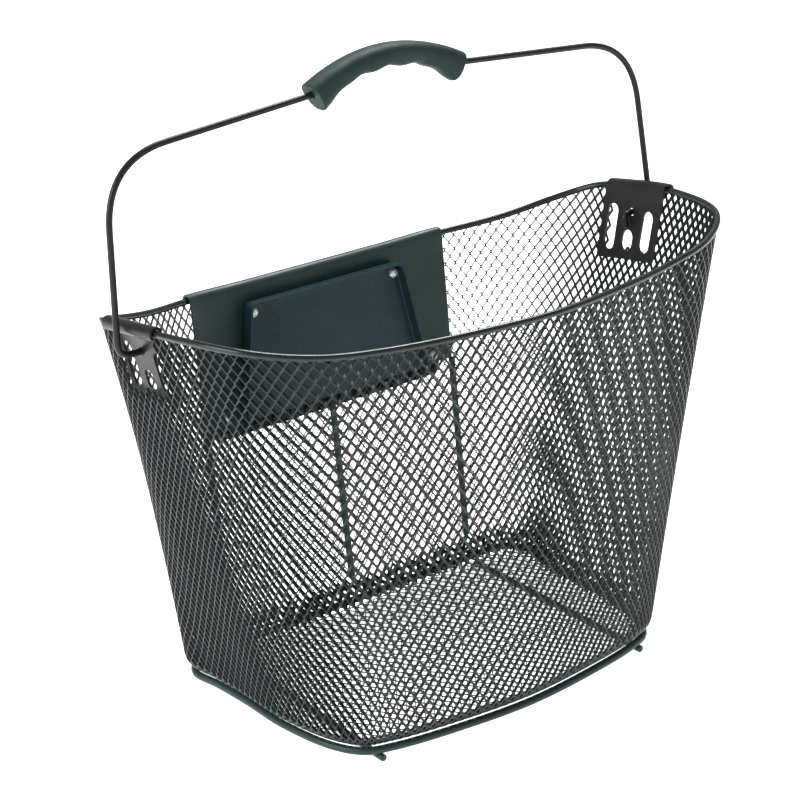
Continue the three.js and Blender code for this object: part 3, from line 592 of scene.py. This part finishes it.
def diamonds(corners, shares):
    """Strand faces for diamond cells. corners is (cells, 4, 3): top, right, bottom and left.

    Each hole is a six-sided opening: sharp at its sides, blunt at top and bottom, where the
    strands join in knuckles.
    """
    centre = corners.mean(1, keepdims=True)
    hole = centre + (corners - centre) * shares[:, None, None]
    top, right, bottom, left = (hole[:, k] for k in range(4))
    cut = KNUCKLE_SHARE
    ring = [top + (right - top) * cut, right, bottom + (right - bottom) * cut,
            bottom + (left - bottom) * cut, left, top + (left - top) * cut]
    points = np.concatenate([corners, np.stack(ring, 1)], 1)
    pattern = [(0, 1, 5, 4), (1, 2, 6, 5), (2, 7, 6), (2, 3, 8, 7), (3, 0, 9, 8), (0, 4, 9)]
    faces = []
    for cell in range(len(corners)):
        base = cell * 10
        faces.extend(tuple(base + k for k in face) for face in pattern)
    return points.reshape(-1, 3), faces


def wall_cells():
    """The wall's diamonds, left out above the rim and in the side plates' windows."""
    rows = np.arange(0, WALL_ROWS + BEND_ROWS)
    columns = np.arange(2 * MESH_COLUMNS)
    column, row = np.meshgrid(columns, rows)
    keep = (column + row) % 2 == 1
    column, row = column[keep].astype(float), row[keep].astype(float)
    steps = [(0, -1), (1, 0), (0, 1), (-1, 0)]
    corners = np.stack([wall_lattice(column + dc, row + dr)[0] for dc, dr in steps], 1)
    _, turn, drop = wall_lattice(column, row)
    span = corners[:, 0] - corners[:, 2]
    tall_enough = np.linalg.norm(span, axis=1) > SHORTEST_DIAMOND
    side = np.minimum(turn, 1 - turn)
    rear = turn_at_side_y(SIDE_PLATE_REAR_Y - SIDE_PLATE_BORDER)
    front = turn_at_side_y(SIDE_PLATE_FRONT_Y + SIDE_PLATE_BORDER)
    in_window = (side > rear) & (side < front) & (drop < SIDE_PLATE_DROP - SIDE_PLATE_BORDER)
    in_window &= row < WALL_ROWS
    keep = tall_enough & ~in_window
    return corners[keep], np.where(row > WALL_ROWS, EDGE_HOLE_SHARE, HOLE_SHARE)[keep]


def floor_cells():
    """The floor's diamonds, drawn in to its outline where they cross it."""
    edge_turns = FINE_TURNS[::20][:-1]
    outline = on_bottom_edge(edge_turns, np.ones(len(edge_turns)))[:, :2]
    middle = np.array([0, MIDDLE_OF_FLOOR_Y])
    columns = np.arange(-FLOOR_HALF_COLUMNS, FLOOR_HALF_COLUMNS + 1)
    rows = np.arange(-FLOOR_HALF_ROWS, FLOOR_HALF_ROWS + 1)
    column, row = np.meshgrid(columns, rows)
    keep = (column + row) % 2 == 1
    column, row = column[keep].astype(float), row[keep].astype(float)
    bearing = np.arctan2(outline[:, 1] - middle[1], outline[:, 0] - middle[0])
    order = np.argsort(bearing)
    reach = np.linalg.norm(outline - middle, axis=1)

    def place(c, r):
        p = np.stack([c * FLOOR_DIAMOND_WIDTH / 2, r * DIAMOND_HEIGHT / 2], -1)
        far = np.linalg.norm(p, axis=-1)
        toward = np.arctan2(p[:, 1], p[:, 0])
        limit = np.interp(toward, bearing[order], reach[order], period=2 * math.pi)
        shrink = np.minimum(1, limit / np.maximum(far, 1e-6))
        p = middle + p * shrink[:, None]
        return np.concatenate([p, np.full((len(p), 1), FLOOR_LEVEL)], 1), far - limit

    steps = [(0, 1), (1, 0), (0, -1), (-1, 0)]
    placed = [place(column + dc, row + dr) for dc, dr in steps]
    inside = np.min([over for _, over in placed], axis=0) < -SMALLEST_DIAMOND
    corners = np.stack([p for p, _ in placed], 1)[inside]
    return corners, np.full(len(corners), HOLE_SHARE)


def strand_depths(normals):
    """From a strand's inner face to its outer face: the strands of expanded metal are tilted."""
    flatness = np.abs(normals[:, 2:])
    depth = STRAND_DEPTH + (FLOOR_STRAND_DEPTH - STRAND_DEPTH) * flatness
    along = np.cross(normals, [0, 0, 1])
    fall = np.array([0, 0, -STRAND_FALL]) * (1 - flatness)
    return depth * (normals + STRAND_LEAN * along + fall)


def thicken_strands(sheet):
    """Gives the flat sheet of strands its depth: outer faces, inner faces and the holes' sides."""
    mesh = sheet.data
    points = np.array([v.co for v in mesh.vertices])
    depths = strand_depths(np.array([v.normal for v in mesh.vertices]))
    count = len(points)
    faces = [tuple(polygon.vertices) for polygon in mesh.polygons]
    sides = [edge for face in faces for edge in zip(face, face[1:] + face[:1])]
    joined = set(sides)
    open_sides = [(a, b) for a, b in sides if (b, a) not in joined]
    solid = faces + [tuple(k + count for k in face[::-1]) for face in faces]
    solid += [(b, a, a + count, b + count) for a, b in open_sides]
    bpy.data.objects.remove(sheet, do_unlink=True)
    layers = np.concatenate([points + depths / 2, points - depths / 2])
    return add_object("diamond_mesh", layers, solid, smooth=False, local=False)


def make_mesh_body():
    cells = zip(wall_cells(), floor_cells())
    points, faces = diamonds(*(np.concatenate(parts) for parts in cells))
    sheet = face_outward(add_object("diamond_sheet", points, faces, smooth=False), merge=True)
    body = thicken_strands(sheet)
    nodes = ["mesh_wall_rear", "mesh_wall_front", "mesh_wall_left", "mesh_wall_right", "mesh_floor"]
    return finish_piece(body, MESH_GREEN, "mesh_paint", *nodes)


# ---------------------------------------------------------------- rim, ring and floor wires


def make_wires():
    turns = np.linspace(0, 1, 361)[:-1]
    rim = tube("rim_bead", rim_point(turns), RIM_WIRE_RADIUS - SNUG, 16, closed=True)
    finish_piece(rim, WIRE_GREEN, "green_paint", "rim_wire")
    offset = np.full(len(turns), MESH_THICKNESS / 2 + GAP + RING_RADIUS)
    low = on_bottom_edge(turns, np.full(len(turns), RING_PLACE), offset)
    ring = tube("floor_ring", low, RING_RADIUS, 14, closed=True)
    finish_piece(ring, GREEN, "green_paint", "floor_ring_wire")
    for name, x in (("left", -FLOOR_WIRE_X), ("right", FLOOR_WIRE_X)):
        ends = [(x, y, FLOOR_WIRE_RADIUS) for y in (FLOOR_WIRE_REAR_Y, FLOOR_WIRE_FRONT_Y)]
        wire = tube(f"floor_runner_{name}", np.linspace(ends[0], ends[1], 8), FLOOR_WIRE_RADIUS)
        finish_piece(wire, GREEN, "green_paint", f"floor_wire_{name}")
    wire_offset = MESH_THICKNESS / 2 + GAP + FLOOR_WIRE_RADIUS
    for name, x in (("left", -UPRIGHT_X), ("middle", 0.0), ("right", UPRIGHT_X)):
        turn = turn_at_x(x)
        length = float(wall_frame(turn)["length"][0])
        drops = (REAR_PLATE_DROP + GAP, length - BOTTOM_EDGE_RADIUS - 1 * MM)
        ends = [on_wall(turn, drop, -wire_offset) for drop in drops]
        wire = tube(f"upright_{name}", np.linspace(ends[0], ends[1], 8), FLOOR_WIRE_RADIUS)
        finish_piece(wire, GREEN, "green_paint", f"rear_upright_{name}")


# ---------------------------------------------------------------- sheet-steel plates


HOOK_START = -0.25 * math.pi  # how far the hook's free edge runs down the rim's outer side
FLAT_START_DROP = 6 * MM


def hooked_path(bottom_drop):
    """The section of a plate that hangs inside the wall and hooks over the rim.

    Each step gives (drop, offset) on its face away from the rim and on its face towards it.
    """
    inner = RIM_WIRE_RADIUS + HOOK_GAP
    outer = inner + PLATE_THICKNESS
    path = []
    for angle in np.linspace(HOOK_START, math.pi, 14):
        c, s = math.cos(angle), math.sin(angle)
        path.append(((-outer * s, outer * c), (-inner * s, inner * c)))
    for drop in np.linspace(FLAT_START_DROP, bottom_drop, 12):
        path.append(((drop, -outer), (drop, -inner)))
    return path


def hooked_plate(name, turns, bottom_drop):
    path = hooked_path(bottom_drop)
    return slab(name, *([on_wall(turns, *step[face]) for step in path] for face in (0, 1)))


def make_rear_plate():
    turns = np.linspace(turn_at_x(-REAR_PLATE_HALF_WIDTH), turn_at_x(REAR_PLATE_HALF_WIDTH), 60)
    plate = hooked_plate("rear_plate_sheet", turns, REAR_PLATE_DROP)
    bevel(plate, 0.4 * MM, 2, 50)
    finish_piece(plate, GREEN, "green_paint", "rear_plate")


def make_tray():
    """A pressed tray: a flat back whose rounded flanges stand out along its top and sides."""
    back = -(RIM_WIRE_RADIUS + HOOK_GAP + PLATE_THICKNESS) - REAR_BEND
    slope = (TRAY_BOTTOM_HALF_WIDTH - TRAY_TOP_HALF_WIDTH) / (TRAY_BOTTOM_DROP - TRAY_TOP_DROP)

    def outline(inset):
        """The flange's line, up one side, over the rounded top corners and down the other."""
        half = lambda drop: TRAY_TOP_HALF_WIDTH + slope * (drop - TRAY_TOP_DROP) - inset
        top = TRAY_TOP_DROP + inset
        side = [(half(d), d) for d in np.linspace(TRAY_BOTTOM_DROP, top + TRAY_CORNER, 10)]
        end = half(top) - TRAY_CORNER
        bend = quadratic(*np.array([side[-1], (half(top), top), (end, top)]), 6)[1:]
        right = side + [tuple(point) for point in bend]
        middle = [(x, top) for x in np.linspace(end, -end, 12)[1:-1]]
        left = [(-x, d) for x, d in right[::-1]]
        return right + middle + left

    # Across the flange: from its free edge, round the fold, and in to the tray's flat back.
    rise = TRAY_FLANGE + PLATE_THICKNESS
    heights = (rise, rise * 0.6, TRAY_FOLD)
    outer_profile = [(0.0, height) for height in heights]
    inner_profile = [(PLATE_THICKNESS, height) for height in heights]
    for angle in np.linspace(0, math.pi / 2, 6)[1:]:
        s, c = math.sin(angle), math.cos(angle)
        outer_profile.append((TRAY_FOLD * (1 - c), TRAY_FOLD * (1 - s)))
        small = TRAY_FOLD - PLATE_THICKNESS
        inner_profile.append((TRAY_FOLD - small * c, TRAY_FOLD - small * s))
    for inset in TRAY_BACK_INSETS:
        outer_profile.append((inset, 0.0))
        inner_profile.append((inset, PLATE_THICKNESS))
    grids = []
    for profile in (outer_profile, inner_profile):
        grids.append([[on_rear(x, drop, back - height) for x, drop in outline(inset)]
                      for inset, height in profile])
    for grid in grids:
        grid.append([point * [0, 1, 1] for point in grid[-1]])
    tray = slab("pressed_tray", *grids, spine=True)
    bevel(tray, 0.35 * MM, 2, 50)
    # The tray's darker green is painted shade.
    finish_piece(tray, SHADED_TRAY_GREEN, "tray_paint", "backing_tray")


def slot_cutter(side, y, top_drop):
    """A round-ended slot through a side plate, as a solid."""
    turn = side * turn_at_side_y(y)
    radius = SLOT_WIDTH / 2
    top = on_wall(turn, top_drop + radius)
    bottom = on_wall(turn, SLOT_BOTTOM_DROP - radius)
    up = unit(top - bottom)
    out = wall_frame(turn)["out"]
    along = unit(np.cross(up, out))
    out = np.cross(along, up)
    ring = []
    for end, start in ((top, 0), (bottom, math.pi)):
        for angle in np.linspace(start, start + math.pi, 13):
            ring.append(end + along * radius * math.cos(angle) + up * radius * math.sin(angle))
    ring = np.array(ring)
    vertices = np.concatenate([ring + out * CUTTER_REACH, ring - out * CUTTER_REACH])
    count = len(ring)
    faces = [(k, (k + 1) % count, count + (k + 1) % count, count + k) for k in range(count)]
    faces += [tuple(range(count))[::-1], tuple(range(count, 2 * count))]
    return face_outward(add_object("slot_cutter", vertices, faces))


def pivot_point(side):
    return on_wall(side * turn_at_side_y(BAIL_PIVOT_Y), BAIL_PIVOT_DROP)


def make_side_plates():
    for name, side in (("left", -1), ("right", 1)):
        ends = [turn_at_side_y(y) for y in (SIDE_PLATE_REAR_Y, SIDE_PLATE_FRONT_Y)]
        turns = side * np.linspace(*ends, 26)
        plate = hooked_plate(f"side_plate_sheet_{name}", turns, SIDE_PLATE_DROP)
        for y, top in SIDE_SLOTS:
            cut_away(plate, slot_cutter(side, y, top))
        pivot = pivot_point(side)
        reach = np.array([CUTTER_REACH, 0, 0])
        hole_radius = BAIL_WIRE_RADIUS + BAIL_HOLE_CLEARANCE
        cut_away(plate, tube("pivot_cutter", [pivot - reach, pivot, pivot + reach], hole_radius))
        bevel(plate, 0.3 * MM, 2, 50)
        finish_piece(plate, DARK, "dark_paint", f"side_plate_{name}")


# ---------------------------------------------------------------- bail handle


def grip_curve(steps):
    """The wire's line inside one half of the grip, from the grip's end to its middle."""
    crown = GRIP_END_HEIGHT + GRIP_ARCH
    end = np.array([GRIP_HALF_LENGTH, GRIP_END_HEIGHT])
    return quadratic(end, np.array([GRIP_HALF_LENGTH * 0.5, crown]), np.array([0, crown]), steps)


def bail_points():
    """The bail in its own plane: x across, y up from the pivot's axis."""
    pivot_x = abs(pivot_point(1)[0])
    hook_x = pivot_x - BAIL_HOOK_INSET
    shoulder = np.array([BAIL_SHOULDER_X, BAIL_SHOULDER_HEIGHT])
    foot = np.array([BAIL_FOOT_X, 0])
    grip = np.array([GRIP_HALF_LENGTH, GRIP_END_HEIGHT])
    hook_end = np.array([hook_x, -BAIL_HOOK_LENGTH])

    def rounded(corner, before, after, radius, steps):
        return quadratic(corner + unit(before - corner) * radius, corner,
                         corner + unit(after - corner) * radius, steps)

    hook = rounded(np.array([hook_x, 0]), hook_end, foot, BAIL_HOOK_RADIUS, 6)
    foot_bend = rounded(foot, hook[-1], shoulder, BAIL_FOOT_RADIUS, 8)
    shoulder_bend = rounded(shoulder, foot, grip, BAIL_SHOULDER_RADIUS, 16)
    stretch = lambda a, b, n: np.linspace(a, b, n + 1)[1:-1]
    half = np.concatenate([
        [hook_end], hook, stretch(hook[-1], foot_bend[0], 3), foot_bend,
        stretch(foot_bend[-1], shoulder_bend[0], 8), shoulder_bend,
        stretch(shoulder_bend[-1], grip, 10), grip_curve(16),
    ])
    mirrored = half[:-1][::-1] * [-1, 1]
    return np.concatenate([half, mirrored])


def bail_to_frame(points):
    """From the bail's plane, with depth as the third number, to the local frame."""
    pivot = pivot_point(1)
    points = np.array(points, float)
    c, s = math.cos(BAIL_LEAN), math.sin(BAIL_LEAN)
    x, height, depth = points[..., 0], points[..., 1], points[..., 2]
    return np.stack([x, pivot[1] + height * s - depth * c, pivot[2] + height * c + depth * s], -1)


def make_bail():
    plane = bail_points()
    points = bail_to_frame(np.column_stack([plane, np.zeros(len(plane))]))
    wire = tube("bail_rod", points, BAIL_WIRE_RADIUS - SNUG, 16, body="bail")
    finish_piece(wire, DARK, "dark_paint", "bail_wire")


def grip_outline(along):
    """The grip's underside at a share of its length: waves for the fingers, flared at the ends."""
    fingers = GRIP_WAVE * np.cos(2 * math.pi * GRIP_WAVES * along)
    reach = np.clip((np.abs(2 * along - 1) - 0.6) / 0.3, 0, 1)
    return GRIP_BELOW_WIRE + fingers + GRIP_FLARE * reach * reach * (3 - 2 * reach)


def make_grip():
    steps, sides = 72, 36
    right = grip_curve(steps // 2)
    line = np.concatenate([right, right[:-1][::-1] * [-1, 1]])
    before, after = np.roll(line, 1, 0), np.roll(line, -1, 0)
    before[0], after[-1] = line[0], line[-1]
    along = unit(after - before)
    up = np.stack([along[:, 1], -along[:, 0]], 1)
    share = np.linspace(0, 1, len(line))
    angles = np.arange(sides) * 2 * math.pi / sides
    s, c = np.sin(angles), np.cos(angles)
    height = np.where(s > 0, GRIP_ABOVE_WIRE, grip_outline(share)[:, None])
    rise = height * np.sign(s) * np.abs(s) ** GRIP_SQUARENESS
    depth = np.broadcast_to(GRIP_HALF_WIDTH * np.sign(c) * np.abs(c) ** GRIP_SQUARENESS, rise.shape)
    bore = BAIL_WIRE_RADIUS + GRIP_BORE_GAP

    def rings(rise, depth):
        flat = line[:, None] + up[:, None] * rise[..., None]
        return bail_to_frame(np.concatenate([flat, depth[..., None]], -1))

    outer = rings(rise, depth)
    inner = rings(np.broadcast_to(bore * s, rise.shape), np.broadcast_to(bore * c, rise.shape))
    grip = slab("moulded_grip", outer, inner, body="bail", wrap=True)
    bevel(grip, 0.8 * MM, 3, 50)
    finish_piece(grip, GRIP_PLASTIC, "grip_plastic", "grip")


# ---------------------------------------------------------------- carried-over CAD pieces


def dress_cad_nodes():
    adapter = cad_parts["quick_release_adapter"]
    finish_piece(adapter, ADAPTER_PLASTIC, "adapter_plastic")
    bevel(adapter, 0.9 * MM, 3, 40)
    for name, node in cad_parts.items():
        if name.startswith(("bolt_", "nut_")):
            finish_piece(node, ZINC, "zinc")
            bevel(node, 0.25 * MM, 2, 40)


# ---------------------------------------------------------------- stage, light and camera


CARD_HALF_SIZE = 6.0
CARD_TONE = 0.93
CARD_GLOW = 0.9
SKY_STRENGTH = 0.32
LIGHT_TARGET = (0, 0, 0.15)
# name, place, (width, height), watts
SOFT_BOXES = [
    ("key", (0.75, 0.6, 1.75), (1.0, 0.6), 40),
    ("fill", (-1.8, 0.2, 1.0), (1.2, 1.2), 26),
]


def make_stage():
    half = CARD_HALF_SIZE
    corners = [(-half, -half, 0), (half, -half, 0), (half, half, 0), (-half, half, 0)]
    mesh = bpy.data.meshes.new("studio_floor")
    mesh.from_pydata(corners, [], [(0, 1, 2, 3)])
    floor = bpy.data.objects.new("studio_floor", mesh)
    bpy.context.scene.collection.objects.link(floor)
    mesh.materials.append(light_table("white_card", (CARD_TONE,) * 3, CARD_GLOW))


def soft_box(name, place, size, power):
    lamp = bpy.data.lights.new(name, "AREA")
    lamp.shape = "RECTANGLE"
    lamp.size, lamp.size_y = size
    lamp.energy = power
    obj = bpy.data.objects.new(name, lamp)
    obj.location = place
    obj.rotation_euler = (Vector(LIGHT_TARGET) - Vector(place)).to_track_quat("-Z", "Y").to_euler()
    bpy.context.scene.collection.objects.link(obj)


def make_light():
    world = bpy.data.worlds.new("studio")
    bpy.context.scene.world = world
    world.use_nodes = True
    sky = world.node_tree.nodes["Background"]
    sky.inputs["Color"].default_value = (1, 1, 1, 1)
    sky.inputs["Strength"].default_value = SKY_STRENGTH
    for box in SOFT_BOXES:
        soft_box(*box)


CAMERA_PLACE = Vector((-0.6628, -0.93105, 0.6122))
CAMERA_LOOK = Vector((0.5314, 0.7633, -0.3674))
CAMERA_UP = Vector((0.2586, 0.2668, 0.9284))
CAMERA_LENS = 100.1
SENSOR_WIDTH = 36


def make_camera():
    data = bpy.data.cameras.new("camera")
    data.lens = CAMERA_LENS
    data.sensor_width = SENSOR_WIDTH
    data.clip_start = 0.01
    data.clip_end = 50
    camera = bpy.data.objects.new("camera", data)
    back = -CAMERA_LOOK.normalized()
    right = CAMERA_UP.cross(back).normalized()
    up = back.cross(right)
    turn = Matrix((right, up, back)).transposed().to_4x4()
    camera.matrix_world = Matrix.Translation(CAMERA_PLACE) @ turn
    bpy.context.scene.collection.objects.link(camera)
    bpy.context.scene.camera = camera


make_camera()
make_light()
make_stage()
make_mesh_body()
make_wires()
make_rear_plate()
make_tray()
make_side_plates()
make_bail()
make_grip()
dress_cad_nodes()

bpy.context.scene.view_settings.view_transform = "Standard"
bpy.context.view_layer.update()
